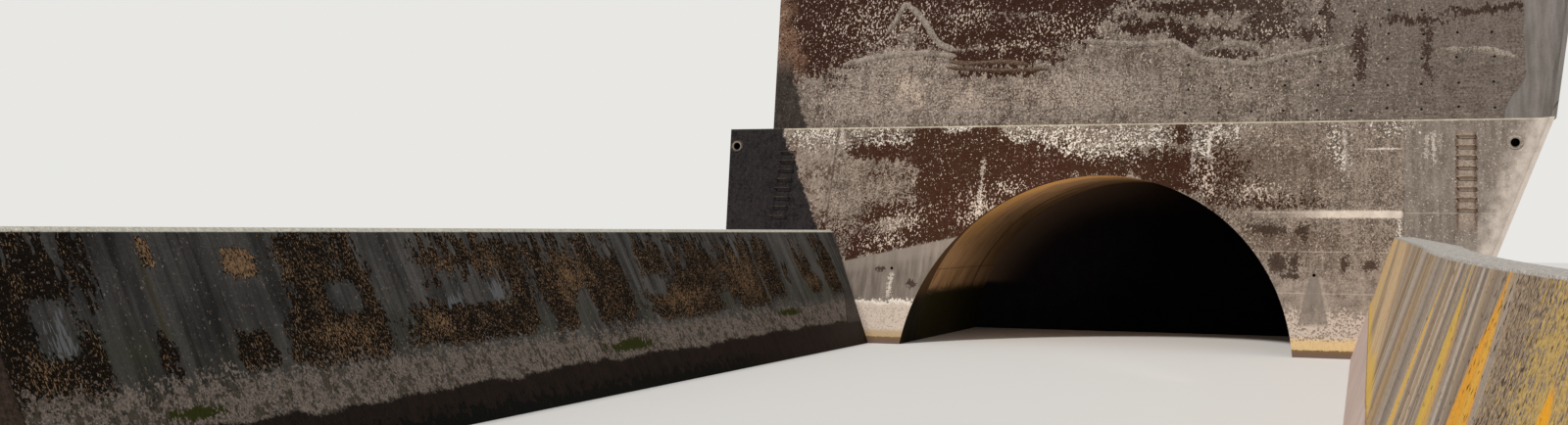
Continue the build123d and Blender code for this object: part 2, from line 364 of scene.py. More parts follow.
def headwall_paint(part, *reach):
    """The lower headwall within reach, which is as in Paint, in x and z."""
    paint = Paint("headwall_concrete_" + part, lean_y=-SLOPE, reach=reach)
    x, y, z = paint.axes
    face = below(along(z, -SLOPE, y), 0.02, 0.015)
    paint.colour, height = concrete_base(paint, (88, 76, 66), (150, 135, 122))
    wander = paint.noise(1.4, seed=5)
    lumps = paint.noise(0.3, 4.0, seed=21.7)
    grit = paint.noise(0.05, seed=29.3)
    drip = paint.noise(0.14, down=7, seed=2.2)
    flat = point(fray(x, wander, 0.6), fray(z, drip, 0.3))

    # Brownish haze right of the arch, paler and smoother beyond the right joint
    haze = paint.patches(flat, ((4.6, 5.0, 2.2, 1.0), (5.2, 3.0, 1.4, 0.45)))
    haze = paint.speckle(along(haze, 0.7, 0.3), 0.05, seed=61)
    paint.lay((84, 66, 52), haze, face, 0.55)
    end_tone = blend(along(drip, 0.7, times(grit, 0.3)), (92, 82, 74), (152, 141, 131))
    right_end = above(x, JOINT_X, 0.02)
    paint.lay(end_tone, right_end, face, 0.7)
    edge = above(fray(along(z, -0.4, x), lumps, 0.5), 8.75, 0.55)
    paint.lay((208, 196, 184), edge, face, 0.85)

    # Paler and pinkish left of the left joint
    left_end = below(x, -JOINT_X, 0.02)
    left_tone = blend(along(grit, 0.5, times(drip, 0.5)), (92, 78, 68), (176, 160, 147))
    paint.lay(left_tone, left_end, face, 0.7)
    if part == "left_end":
        flecks = paint.speckle(along(lumps, 1.1, -0.3), 0.07, seed=67, detail=3.0)
        paint.lay((74, 52, 40), flecks, face, 0.8)

    # Dark brown growth over the arch and to its left, with bare places in it
    spots = (
        (-6.3, 5.62, 1.35, 0.3), (-4.3, 5.55, 1.6, 0.9), (-2.2, 5.2, 1.8, 0.95),
        (0.2, 5.2, 1.6, 0.42), (-4.6, 4.6, 0.8, 0.9), (-2.9, 4.3, 1, 0.9),
        (-6.2, 3.75, 1.2, 0.22, 10), (-5.9, 2.95, 1.6, 0.3, 10), (-7.15, 2.75, 0.26, 0.5),
        (-4.7, 3.55, 1.3, 0.7, 10), (2.1, 5, 1.1, 0.6, -15), (2.2, 6.05, 0.5, 0.3),
        (-5.3, 6.1, 0.5, 0.3), (-3.3, 6.1, 0.35, 0.25),
    )
    speckled_spots = (
        (-6.6, 3.4, 1.6, 0.7, 8), (-6.4, 4.4, 1.2, 0.7), (-6.3, 5.95, 1.3, 0.3),
        (3.4, 4.7, 0.75, 1), (2.9, 5.7, 0.7, 0.7), (4.7, 4.08, 1.3, 0.2),
    )
    bare = ((-6.35, 4.45, 0.75, 0.42), (-7.4, 4.3, 0.5, 0.9), (-6, 3.4, 0.5, 0.2, 10))
    inside = fray(along(paint.patches(flat, spots), 3.2, 0.55), lumps, 1.3)
    some = along(paint.patches(flat, speckled_spots), 0.8, 0.35)
    some = maths("MINIMUM", fray(some, lumps, 0.7), 0.62)
    outside = maths("MINIMUM", fray(along(paint.patches(flat, bare), 1.1, 0.35), lumps, 0.7), 0.8)
    growth = paint.speckle(either(inside, some), 0.045, seed=33, detail=3.0)
    growth = times(without(growth, paint.speckle(outside, 0.04, seed=37, detail=3.0)), face)
    brown = blend(grit, (42, 18, 11), (68, 36, 23))
    paint.lay(blend(times(wander, 0.5), brown, (52, 34, 18)), growth, 0.97)

    # White flecks, sparse but for a few places
    thick_spots = (
        (-5.6, 3.5, 1.2, 0.5, 10), (-3.6, 3.9, 1, 0.7), (-2.6, 4.5, 0.5, 0.4),
        (-6.2, 2.95, 1.3, 0.3, 8), (2.8, 4.7, 0.5, 0.8), (4.3, 4.4, 1, 0.4),
    )
    thick = paint.patches(flat, thick_spots)
    share = either(along(thick, 0.4, 0.08), 0.035)
    flecks = paint.speckle(share, 0.042, seed=41, down=1.4, soft=0.04, detail=3.0)
    flecks = times(flecks, above(z, 1.7, 0.6), face)
    paint.lay((206, 188, 172), flecks, 0.9)

    # Lime along the top: a thick white crust with a scalloped edge, thinner to the sides
    crust_spots = (
        (-4.3, 6.3, 0.42, 0.16), (-2.4, 6.05, 0.6, 0.26), (-1.2, 6.05, 0.8, 0.36),
        (-0.8, 5.78, 0.75, 0.3), (0.6, 6, 1.5, 0.3), (1.3, 5.8, 0.7, 0.2), (2.75, 5.65, 0.22, 0.3),
        (3.2, 6.08, 0.4, 0.1), (-7.35, 6.22, 0.35, 0.14), (-6.35, 5.88, 0.9, 0.07),
        (-8.9, 6.22, 0.9, 0.18),
    )
    thin_spots = (
        (-8.7, 6.1, 1.3, 0.5), (-6.6, 6.15, 1, 0.3), (3.4, 6, 1.1, 0.4), (6.5, 5.6, 0.35, 0.8),
        (7.6, 6.1, 0.6, 0.3), (0.2, 5.6, 1.6, 0.3),
    )
    crust = maths("MINIMUM", along(paint.patches(flat, crust_spots), 2.2, 0.35), 0.72)
    crust = fray(crust, lumps, 1.3)
    thin = along(paint.patches(flat, thin_spots), 0.6, 0.2)
    thin = maths("MINIMUM", fray(thin, lumps, 0.6), 0.6)
    lip = times(paint.speckle(either(crust, thin), 0.06, seed=45, detail=3.0), face)
    paint.lay(blend(above(grit, 0.54, 0.16), (86, 74, 62), (224, 213, 200)), lip, 0.93)
    edge_line = times(times(above(z, LEDGE_LEVEL - 0.04, 0.012), face), along(lumps, 0.6, 0.4))
    paint.lay((198, 188, 166), edge_line)

    if reach[2] < LIFT_LEVELS[0]:
        low_stains(paint, face, lumps, drip)

    # Joints between pours and lifts
    joint_left = line(x, -JOINT_X, 0.03, 0.02)
    joint_right = line(x, JOINT_X, 0.015, 0.015)
    joints = times(times(either(joint_left, times(joint_right, 0.5)), face), along(drip, 0.8, 0.2))
    paint.lay((50, 36, 28), joints, 0.8)
    for level in LIFT_LEVELS:
        seam = times(line(z, level, 0.012, 0.014), above(x, 4.0, 0.2), face)
        seam = times(seam, along(lumps, 0.9, 0.1))
        paint.lay((192, 178, 164), seam, 0.85)
    run = band(x, 4.2, JOINT_X - 0.05, 0.04)
    ragged_level = fray(z, grit, 0.04)
    lime_band = times(run, band(ragged_level, 3.66, 3.86, 0.03), face)
    strength = times(ramp(x, 5.2, 6.2, 0.15, 0.95), along(lumps, 0.4, 0.7))
    paint.lay((222, 206, 190), lime_band, strength)

    # Lime runs, a scratch and the white mark in the corner
    for centre, low, high, half, strong in (
        (-3.45, 3.7, 5.35, 0.035, 0.8), (8.62, 5.25, 5.95, 0.025, 0.7), (8.80, 5.15, 6, 0.03, 0.8),
        (8.97, 5.4, 5.9, 0.02, 0.6), (2.52, 4.9, 6.2, 0.03, 0.5), (2.95, 5.3, 6, 0.05, 0.8),
        (6.55, 4.9, 6, 0.05, 0.3), (-7.95, 5.9, 6.3, 0.03, 0.8),
        (7.95, 3.1, 3.65, 0.03, 0.9), (-WEEP_X, 1.3, 2, 0.045, 0.85),
    ):
        ragged = fray(x, grit, 0.16)
        mark = times(line(ragged, centre, half, 0.015), band(z, low, high, 0.1))
        beads = along(drip, 0.7, 0.4)
        paint.lay(LIME, mark, face, beads, strong)
    scratch = times(band(x, 7.1, 7.95, 0.12), line(ragged_level, 5.54, 0.02, 0.015))
    paint.lay(LIME, scratch, face, 0.75)

    if part.endswith("end"):
        ladder_marks(paint, face, grit)
    if reach[2] < LIFT_LEVELS[0]:
        tide_marks(paint, face, lumps, grit, drip)

    # The left end is painted dark as the shadow of the hillside; the reveal of the arch is darker
    if part.startswith("left"):
        hill_shadow_edge = fray(x, lumps, 0.3)
        hill_shadow = below(add(hill_shadow_edge, times(z, 0.53)), -6.55, 0.06)
        paint.lay(blend(grit, (11, 10, 13), (32, 31, 35)), hill_shadow, face, 0.94)
    rise = add(z, -ARCH_CENTRE)
    near_mouth = below(distance(x, rise), ARCH_RADIUS + 0.02, 0.012)
    reveal = without(near_mouth, face)
    paint.lay(blend(above(z, 1.4, 0.3), (30, 28, 16), (92, 66, 42)), reveal, 0.93)

    # Back: plain weathered concrete
    behind = above(y, 3.4, 0.3)
    paint.lay(BACK_GREY, behind, 0.6)
    return paint.finish(0.9, add(times(height, 0.6), times(grit, 0.4)), 0.012)


def upper_paint():
    paint = Paint("upper_wall_concrete", lean_y=-SLOPE)
    x, y, z = paint.axes
    face = below(along(z, -SLOPE, y), LEDGE_WIDTH + 0.05, 0.03)
    paint.colour, height = concrete_base(paint, (82, 70, 61), (140, 127, 116))
    wander = paint.noise(1.3, seed=11)
    lumps = paint.noise(0.35, 4.0, seed=13.7)
    grit = paint.noise(0.065, 2.0, seed=15.3)
    drip = paint.noise(0.16, down=7, seed=17.2)
    grain = paint.noise(0.035, across=9, seed=4)
    flat = point(fray(x, wander, 0.7), fray(z, drip, 0.4))

    # Greyer and darker towards the right, with the grain of the boards across it
    right = above(fray(x, wander, 3.0), 6.0, 1.5)
    paint.lay(blend(grit, (64, 55, 49), (122, 111, 103)), right, 0.6)
    grained = times(below(z, 8.4, 0.5), face)
    paint.shade(along(times(along(grain, 1.0, -0.5), grained), 0.55, 1.0))

    # Pale washed stretch on the left, above the ledge
    pale_spots = (
        (-7.4, 7.4, 2.2, 1.1), (-4.6, 7.2, 1.6, 0.8), (-1, 7.4, 2.4, 0.8),
        (-6.6, 8.5, 1.7, 0.4, -8),
    )
    pale = along(paint.patches(flat, pale_spots), 1.0, 0.35)
    pale = times(paint.speckle(pale, 0.09, seed=63, detail=4.0), face)
    paint.lay(blend(above(grit, 0.45, 0.35), (92, 81, 73), (178, 163, 151)), pale, 0.65)
    pits = paint.speckle(along(lumps, 0.8, -0.18), 0.05, seed=64, detail=3.0)
    pits = times(pits, below(x, 0.5, 2.0), face)
    paint.lay((66, 52, 43), pits, 0.8)
    warm_spots = ((-6.3, 7.75, 0.5, 0.5), (-6, 7.3, 0.3, 0.4), (-4.3, 7.4, 0.12, 0.5))
    warm = along(paint.patches(flat, warm_spots), 0.5, 0.12)
    warm = times(paint.speckle(warm, 0.05, seed=65, detail=3.0), face)
    paint.lay((206, 184, 162), warm, 0.6)

    # Dark growth, heavy at the upper left and in streaks to the right
    # The oval at (-3.7, 8.06), under the broken strip, is painted shadow of its torn edge among the
    # growth
    spots = (
        (-9.2, 9.9, 2, 1.5), (-7.2, 10.2, 2.2, 1.2), (-9.4, 8.8, 0.9, 0.6), (-5, 9.4, 1.6, 0.6),
        (-3, 9.3, 1.8, 0.6), (-1.2, 9.5, 1.4, 0.55), (-3.5, 8.55, 1.5, 0.3), (-2.6, 10.3, 3, 0.4),
        (0.9, 9.35, 1.2, 0.2), (2, 9.05, 0.5, 0.35), (4.4, 9.3, 0.9, 0.5), (2.8, 9.95, 2.4, 0.2),
        (3.2, 8.42, 0.8, 0.12), (1.6, 10.6, 2.6, 0.3), (5.6, 9.05, 0.4, 0.2), (8.4, 9.3, 1.1, 0.1),
        (10.2, 9.55, 1, 0.1), (-3.7, 8.06, 1.4, 0.1), (5, 10.6, 4.5, 0.3), (3, 9.1, 1, 0.12),
    )
    bare = ((-6.6, 9.4, 0.45, 0.35), (-0.2, 9.3, 0.35, 0.35), (3, 9.55, 0.6, 0.2))
    inside = fray(along(paint.patches(flat, spots), 2.0, 0.6), lumps, 1.3)
    runs = ((5.97, 8.7, 10.6, 0.12), (6.9, 7.4, 9.3, 0.16), (8.68, 7.3, 9.6, 0.1))
    for centre, low, high, half in runs:
        aside = maths("ABSOLUTE", add(along(lumps, 0.3, -centre - 0.15), x))
        run = times(below(aside, half, 0.16), band(z, low, high, 0.5))
        inside = either(inside, times(run, along(lumps, 0.6, 0.6)))
    outside = along(paint.patches(flat, bare), 1.2, 0.35)
    growth = paint.speckle(inside, 0.05, seed=67, detail=3.0)
    growth = times(without(growth, paint.speckle(outside, 0.05, seed=69)), face)
    brown = blend(grit, (30, 18, 13), (62, 41, 31))
    left_half = below(fray(x, wander, 2.0), -0.5, 1.0)
    brown = blend(times(left_half, 0.5), brown, (54, 27, 17))
    strength = along(below(x, 3.0, 2.0), 0.14, 0.84)
    paint.lay(brown, growth, strength)

    # Pale flecks, thick in the growth at the upper left
    thick_spots = (
        (-7.4, 9.8, 2.6, 1.2), (-4.6, 9.9, 1, 0.6), (-1.4, 9.4, 1.6, 0.6), (-3.2, 8.9, 1.4, 0.3),
        (4.8, 9.2, 1.2, 0.3),
    )
    thick = paint.patches(flat, thick_spots)
    share = either(along(thick, 0.24, 0.12), 0.07)
    flecks = paint.speckle(share, 0.055, seed=71, down=1.4, soft=0.04, detail=3.0)
    flecks = times(flecks, below(x, 8.0, 3.0), face)
    paint.lay((198, 181, 165), flecks, 0.88)
    edge_line = fray(x, lumps, 0.6)
    left_edge = below(along(z, 0.34, edge_line), -7.05, 0.2)
    left_edge = times(left_edge, above(z, 8.2, 0.5), above(grit, 0.4, 0.2), face)
    paint.lay((132, 102, 82), left_edge, 0.7)
    # Painted shadow of the hillside over the lower left of the upper wall
    shade_line = fray(along(z, 0.35, x), lumps, 0.3)
    shaded = times(below(shade_line, -7.3, 0.06), below(z, 8.6, 0.6), face)
    paint.lay((34, 29, 27), shaded, 0.85)

    # Smooth repair concrete beside the curved return, with a crack at its far side
    bend = times(above(z, 7.15, 0.55), 0.55)
    repair_edge = less(fray(x, lumps, 0.08), bend)
    repair = above(repair_edge, REPAIR_X, 0.03)
    paint.lay(blend(drip, (102, 97, 92), (132, 126, 121)), repair, face, 0.85)
    seam = times(line(repair_edge, REPAIR_X, 0.015, 0.02), below(z, 7.6, 0.1), face)
    paint.lay((70, 64, 60), seam, 0.5)
    crack = less(along(z, -0.6, x), 7.8)
    crack = times(line(crack, 0.0, 0.014, 0.01), band(z, 6.6, 7.6, 0.1), face)
    paint.lay((26, 22, 20), crack, 0.9)

    # Lime crumbs on the ledge
    crumb_level = fray(z, grit, 0.08)
    crumbs = times(below(crumb_level, 6.4, 0.02), above(lumps, 0.5, 0.2), face)
    paint.lay((150, 138, 112), crumbs, 0.5)
    return paint.finish(0.92, add(times(height, 0.6), times(grit, 0.4)), 0.012)


def barrel_paint():
    paint = Paint("barrel_concrete")
    x, y, z = paint.axes
    rise = add(z, -ARCH_CENTRE)
    turn = maths("ARCTAN2", rise, x)
    arc = times(turn, ARCH_RADIUS)
    unrolled = point(y, arc)
    hoops = paint.noise(0.1, down=16, seed=3, place=unrolled)
    cloud = paint.noise(0.7, 4.0, down=2.5, seed=6, place=unrolled)
    grit = paint.noise(0.07, seed=2.7)
    paint.colour = blend(cloud, (150, 112, 78), (214, 172, 128))
    paint.shade(along(hoops, 0.45, 0.72))
    grime = times(above(cloud, 0.55, 0.2), above(z, 2.6, 0.5))
    paint.lay((86, 62, 42), grime, 0.55)
    # Painted light on the upper vault near the mouth
    crown = times(below(y, 3.4, 0.9), above(z, 3.0, 0.8))
    paint.lay((196, 146, 76), crown, 0.5)

    # Joints between rings and at the head of the side walls
    ring = line(fray(y, grit, 0.05), RING_JOINT, 0.07, 0.03)
    seam = line(z, SIDE_WALL_TOP, 0.012, 0.012)
    joints = either(ring, times(seam, 0.7))
    paint.lay((38, 26, 20), joints, 0.8)

    # Wet algae low down; painted shade deepening into the barrel, and painted light on its crown
    level = fray(z, grit, 0.24)
    slime = below(level, 1.5, 0.16)
    paint.lay(blend(above(grit, 0.5, 0.3), (20, 20, 12), (44, 46, 18)), slime, 0.97)
    # Painted shade, darker the deeper into the barrel
    depth = ramp(y, 1.7, 14.0, 1.0, 0.02)
    paint.shade(maths("POWER", depth, 1.3))
    # Painted light: the crown made brighter
    paint.shade(along(above(z, 4.3, 0.9), 2.0, 1.0))

    # Outside of the rings: plain concrete
    outer = above(distance(x, rise), ARCH_RADIUS + 0.1, 0.02)
    end = above(y, BARREL_END - 0.02, 0.005)
    plain, height = concrete_base(paint)
    paint.lay(plain, either(outer, end))
    roughness = along(slime, -0.3, 0.85)
    return paint.finish(roughness, add(hoops, height), 0.006)


def bulkhead_paint():
    paint = Paint("bulkhead_concrete")
    plain, height = concrete_base(paint)
    # Painted shade: near black, standing for the darkness deep in the barrel
    painted_darkness = blend(paint.noise(0.4), (11, 9, 12), (17, 15, 17))
    rise = add(paint.z, -ARCH_CENTRE)
    # Painted light: a brown glow at the upper left of the rim, fading into the dark
    rim = ramp(distance(paint.x, rise), 4.1, ARCH_RADIUS)
    rim = times(rim, rim, above(paint.z, 1.55, 0.1), below(paint.x, 1.0, 2.0))
    painted_darkness = blend(rim, painted_darkness, (76, 60, 49))
    paint.colour = blend(above(paint.y, 9.0, 0.02), painted_darkness, plain)
    return paint.finish(0.95, height, 0.006)


def left_wall_paint():
    paint = Paint("left_wall_concrete", lean_x=LEFT_BATTER)
    x, y, z = paint.axes
    face = above(along(z, LEFT_BATTER, x), LEFT_FOOT_X - 0.03, 0.02)
    cloud = paint.noise(1.2, seed=21)
    lumps = paint.noise(0.3, 4.0, seed=22.1)
    grit = paint.noise(0.06, 2.0, seed=23.7)
    fine = paint.noise(0.03, 2.0, seed=25.3)
    streak = paint.noise(0.1, down=18, seed=27.2)
    wide_streak = paint.noise(0.4, 2.0, down=9, seed=28.9)
    spikes = paint.noise(0.3, 2.0, down=2.5, seed=29.4)
    teeth = maths("ABSOLUTE", along(spikes, 2.0, -1.0))
    mixed = add(add(times(streak, 0.35), times(wide_streak, 0.4)), times(cloud, 0.25))
    paint.colour = blend(above(mixed, 0.5, 0.35), (62, 60, 57), (122, 118, 113))
    nearness = ramp(y, -28.0, -19.0, 0.66, 1.0)
    paint.shade(times(along(fine, 0.4, 0.8), nearness))
    flat = point(fray(y, lumps, 0.4), add(z, times(along(teeth, 1.0, -0.35), above(z, 2.1, 0.5))))
    still = point(y, z)

    # Green and tan tinge under the growth, and pale runs in the bare places
    tinge = times(band(z, 1.2, 1.9, 0.3), above(cloud, 0.5, 0.3), face)
    paint.lay((76, 78, 58), tinge, 0.5)
    olive = times(line(y, -27.62, 0.05, 0.05), band(z, 1.6, 2.8, 0.3), face)
    paint.lay((86, 78, 50), olive, 0.6)
    dark_run = paint.patches(still, ((-25.6, 2.05, 0.32, 0.45), (-27.85, 2.0, 0.12, 0.6)))
    dark_run = times(above(dark_run, 0.0, 0.4), streak, face)
    paint.lay((46, 45, 50), dark_run, 0.8)
    wash = ((-29.45, 1.8, 0.34, 0.36), (-20.45, 1.95, 0.5, 0.26), (-18.9, 2.05, 0.5, 0.3))
    wash = along(paint.patches(still, wash), 0.7, 0.15)
    wash = times(paint.speckle(wash, 0.05, seed=31, down=6), face)
    paint.lay((158, 160, 164), wash, 0.5)

    # Crusts of dried growth, with bare places in them
    spots = (
        (-30, 2.1, 0.95, 1.15), (-29.25, 1.55, 0.5, 0.42, -10), (-29.25, 2.75, 0.2, 0.4),
        (-28.72, 2.75, 0.24, 0.3), (-27.72, 1.5, 0.12, 0.4), (-25.95, 1.5, 0.4, 0.28),
        (-24.15, 2.35, 0.68, 0.8), (-23.05, 2.3, 0.42, 0.8), (-23.9, 1.6, 1.25, 0.42),
        (-20.2, 2.62, 1, 0.34), (-18.5, 2.62, 1, 0.38), (-20.1, 1.6, 2.1, 0.34),
        (-18.15, 2, 0.4, 0.6), (-16.6, 2.4, 1, 0.65), (-14.6, 2.15, 1.05, 0.85),
        (-16.8, 1.75, 0.55, 0.45), (-12, 2.5, 0.65, 0.42), (-9.9, 2.3, 1.5, 0.6),
        (-11, 1.62, 2.1, 0.36), (-6.9, 2.1, 1.5, 0.8), (-5.2, 2.15, 0.65, 0.7),
        (-4.1, 2.2, 0.16, 0.4), (-2.5, 2.3, 0.5, 0.5), (-2.2, 1.75, 0.5, 0.25),
        (-0.6, 2.15, 0.6, 0.75),
    )
    holes = (
        (-29.45, 1.98, 0.34, 0.36), (-23.5, 2.15, 0.42, 0.24), (-19.7, 2.1, 0.9, 0.18),
        (-15.75, 1.6, 0.26, 0.4), (-12.3, 2, 0.5, 0.22), (-5.95, 1.9, 0.07, 0.7),
    )
    inside = fray(fray(paint.patches(flat, spots, square=True), grit, 0.3), lumps, 0.3)
    clumps = ((-25.65, 2.72, 0.36, 0.22), (-27.47, 2.88, 0.13, 0.2))
    clumps = fray(paint.patches(still, clumps, square=True), grit, 0.5)
    inside = either(inside, clumps)
    hole = fray(paint.patches(still, holes, square=True), grit, 0.5)
    growth = without(above(inside, 0.02, 0.03), above(hole, 0.0, 0.05))
    growth = times(growth, face, above(z, 1.05, 0.2))
    tan_and_highlight_spots = (
        (-25.65, 2.72, 0.5, 0.34), (-24.75, 2.7, 0.2, 0.25), (-20.5, 2.65, 0.8, 0.3),
        (-18.9, 2.6, 0.5, 0.3), (-21.2, 1.6, 0.9, 0.3), (-23.7, 1.55, 1.2, 0.4),
        (-29.8, 1.5, 0.8, 0.5), (-16, 2.2, 1.2, 0.8), (-11, 1.7, 2, 0.4), (-7, 2.1, 1.6, 0.8),
        (-2.3, 1.85, 0.6, 0.25),
    )
    tan_and_highlight_share = fray(along(either(paint.patches(still, tan_and_highlight_spots), 0.0), 0.25, 0.22), lumps, 0.4)
    tan_and_highlight_share = add(tan_and_highlight_share, times(below(y, -25.5, 2.5), -0.1))
    tan_and_highlight_share = add(tan_and_highlight_share, times(above(clumps, 0.1, 0.2), 0.4))
    tips = paint.noise(0.03, 2.0, down=2.6, seed=33)
    # The tan flecks are partly the growth's own tan and partly painted highlights on the tops of
    # the crust
    lit = paint.speckle(tan_and_highlight_share, 0.028, seed=33, down=1.8, soft=0.05, detail=3.0)
    dark = blend(grit, (15, 11, 7), (42, 30, 18))
    lit_tone = blend(grit, (140, 107, 75), (220, 176, 132))
    paint.lay(blend(times(lit, 0.85), dark, lit_tone), growth, 0.97)

    # Pale speckled band, then the soaked stretch down to the foot
    ragged = fray(fray(z, grit, 0.12), lumps, 0.16)
    share = ramp(ragged, 1.4, 1.05, 0.0, 0.85)
    speckled = times(paint.speckle(share, 0.05, seed=35), face)
    pale = blend(fine, (96, 85, 76), (192, 174, 160))
    mossy = paint.speckle(along(lumps, 0.9, -0.1), 0.09, seed=37, detail=4.0)
    paint.lay(blend(times(mossy, 0.75), pale, (62, 58, 38)), speckled, 0.85)
    green_spots = ((-14.6, 0.87, 1.2, 0.14), (-5, 1.1, 0.9, 0.1), (-27.6, 0.8, 0.5, 0.1))
    green = along(paint.patches(flat, green_spots), 1.2, 0.3)
    green = times(paint.speckle(green, 0.06, seed=39, detail=4.0), face)
    paint.lay((58, 63, 10), green, 0.95)
    wet_line = add(fray(fray(z, grit, 0.06), cloud, 0.14), along(y, -0.004, -0.06))
    wet = times(below(wet_line, 0.64, 0.03), face)
    paint.lay(blend(streak, (26, 16, 11), (44, 29, 20)), wet, 0.97)
    fringe = fray(z, paint.noise(0.14, 4.0, seed=36), 0.5)
    fringe = times(below(fringe, 0.24, 0.02), band(y, -25.0, -8.0, 2.0))
    paint.lay((8, 12, 6), fringe, face, 0.97)

    # The short lighter pour that meets the headwall
    slant = along(z, -1.08, add(y, 1.64))
    low = below(z, 1.55, 0.2)
    triangle = times(above(slant, 0.0, 0.03), low, face)
    dry = above(z, 0.62, 0.04)
    paint.lay(blend(dry, (36, 26, 22), (88, 80, 75)), triangle, 0.75)
    corner = times(line(slant, 0.0, 0.02, 0.02), low, face)
    paint.lay((24, 19, 16), corner, 0.8)

    # The dusty top with its bevel, the stained near end and the plain back
    bevel = above(z, LEFT_BEVEL_LEVEL, 0.012)
    paint.lay(blend(grit, (182, 176, 158), (230, 226, 210)), bevel)
    plain, height = concrete_base(paint)
    back = without(below(x, LEFT_BACK_X, 0.02), bevel)
    paint.lay(plain, back)
    near_end = times(below(y, LEFT_NEAR_END + 0.02, 0.01), below(z, 3.1, 0.05))
    paint.lay(blend(grit, (34, 26, 20), (62, 50, 42)), near_end)
    roughness = along(wet, -0.35, 0.9)
    relief = add(times(height, 0.3), times(growth, add(tips, grit), 0.7))
    return paint.finish(roughness, relief, 0.03)


def right_wall_paint():
    paint = Paint("right_wall_concrete")
    x, y, z = paint.axes
    # Distance along the foot of the wall and inland from it, straight and round the flare
    ahead = add(times(x, math.sin(RIGHT_HEADING)), times(y, -math.cos(RIGHT_HEADING)))
    ahead = add(ahead, -RIGHT_FOOT_X * math.sin(RIGHT_HEADING))
    inward = add(times(x, math.cos(RIGHT_HEADING)), times(y, math.sin(RIGHT_HEADING)))
    inward = add(inward, -RIGHT_FOOT_X * math.cos(RIGHT_HEADING))
    across_centre = less(FLARE_FOOT_RADIUS, inward)
    beyond = add(ahead, -FLARE_START)
    turn = maths("ARCTAN2", beyond, across_centre)
    curved = above(ahead, FLARE_START, 0.001)
    bend = along(turn, FLARE_FOOT_RADIUS, FLARE_START)
    station = node("ShaderNodeMix", {0: curved, 2: ahead, 3: bend}, data_type="FLOAT")
    radial = less(FLARE_FOOT_RADIUS, distance(across_centre, beyond))
    inland = node("ShaderNodeMix", {0: curved, 2: inward, 3: radial}, data_type="FLOAT")
    flat = point(station, z)

    hair = paint.noise(0.025, 2.0, down=140, seed=40, place=flat)
    drip = paint.noise(0.06, down=80, seed=41, place=flat)
    wide_drip = paint.noise(0.2, down=40, seed=43, place=flat)
    far_drip = paint.noise(1.1, down=20, seed=48, place=flat)
    hue_drip = paint.noise(0.25, 2.0, down=50, seed=47, place=flat)
    grit = paint.noise(0.03, 2.0, down=1.8, seed=45, place=flat)
    lumps = paint.noise(0.2, 4.0, down=6.0, seed=46, place=flat)
    cloud = paint.noise(0.8, seed=49)
    mixed = add(add(times(drip, 0.3), times(wide_drip, 0.25)), times(hair, 0.25))
    mixed = add(mixed, times(far_drip, 0.2))
    paint.colour = blend(above(mixed, 0.5, 0.25), (126, 110, 94), (184, 168, 152))
    tan = above(hue_drip, 0.6, 0.12)
    paint.lay((176, 146, 108), tan, 0.5)
    paint.shade(along(grit, 0.25, 0.88))

    # Lichen and dirt in streaks down the wall; most of the lichen's widen towards its foot
    sway = fray(fray(station, drip, 0.04), wide_drip, 0.08)
    yellow, gold, orange = (222, 178, 92), (226, 184, 86), (240, 170, 52)
    straw, pink, tan_line = (232, 195, 138), (238, 206, 164), (196, 158, 112)
    pale, lilac = (200, 184, 168), (186, 170, 156)
    dusk, slate = (138, 118, 99), (126, 118, 112)
    # Each streak: station, half width, shift and spread on its way down, tone, strength
    streaks = (
        (2, 4, 2.5, 0, straw, 0.8), (12.2, 3.2, 4, 0, pink, 0.7),
        (9.6, 0.25, 4, 0, tan_line, 0.7), (11.2, 0.25, 4, 0, tan_line, 0.6),
        (12.7, 0.2, 4, 0, tan_line, 0.7), (14.2, 0.2, 4, 0, tan_line, 0.6),
        (16.4, 0.5, 4, 0, tan_line, 0.7), (18.2, 0.5, 2, 0, lilac, 0.6),
        (20.9, 0.55, 0.4, 0, dusk, 0.75), (21.7, 0.12, 0.3, 0, straw, 0.6),
        (22, 0.14, 0.2, 0, dusk, 0.7), (22.65, 0.38, 0, 0, lilac, 0.75),
        (23.3, 0.06, 0, 0, dusk, 0.6), (23.62, 0.1, 0, 0.3, tan_line, 0.6),
        (24.15, 0.07, 0, 0, tan_line, 0.5), (24.77, 0.16, 0, 0, slate, 0.45),
        (25.08, 0.04, 0, 0, pale, 0.5), (25.34, 0.05, -0.05, 0.8, yellow, 0.95),
        (25.64, 0.13, 0, 0, dusk, 0.75), (25.76, 0.018, 0, 0, pale, 0.8),
        (25.98, 0.035, 0, 0, pale, 0.85), (26.12, 0.04, 0, 0, slate, 0.7),
        (26.52, 0.1, 0.12, 0.55, gold, 0.97), (26.7, 0.05, 0.1, 0.4, (206, 160, 104), 0.7),
        (27, 0.05, 0.1, 0, pale, 0.8), (27.13, 0.06, 0.1, 0, slate, 0.9),
        (27.25, 0.02, 0.1, 0, pale, 0.7), (27.5, 0.14, 0, 0, dusk, 0.45),
        (27.88, 0.14, 0, 0.62, orange, 0.98), (27.98, 0.035, 0, 0.7, gold, 0.6),
        (28.25, 0.03, 0.1, 0, tan_line, 0.6), (28.38, 0.03, 0.1, 0, straw, 0.4),
    )
    for centre, half, shift, spread, streak_tone, strength in streaks:
        down = less(STREAK_TOP, z)
        widen = along(down, spread * half * 1.6, half)
        moved = along(down, -shift, add(sway, -centre))
        if spread:
            widen = times(widen, ramp(down, -0.1, 0.5, 0.35))
        inside = above(less(widen, maths("ABSOLUTE", moved)), 0.0, min(half * 0.35 + 0.006, 0.8))
        worn = times(inside, along(above(grit, 0.3, 0.2), 0.25, 0.75))
        worn = times(worn, along(hair, 0.4, 0.75), strength)
        paint.lay(streak_tone, worn)
    fine_line = times(above(far_drip, 0.62, 0.08), below(station, 21.0, 1.0), 0.6)
    paint.lay(tan_line, fine_line)

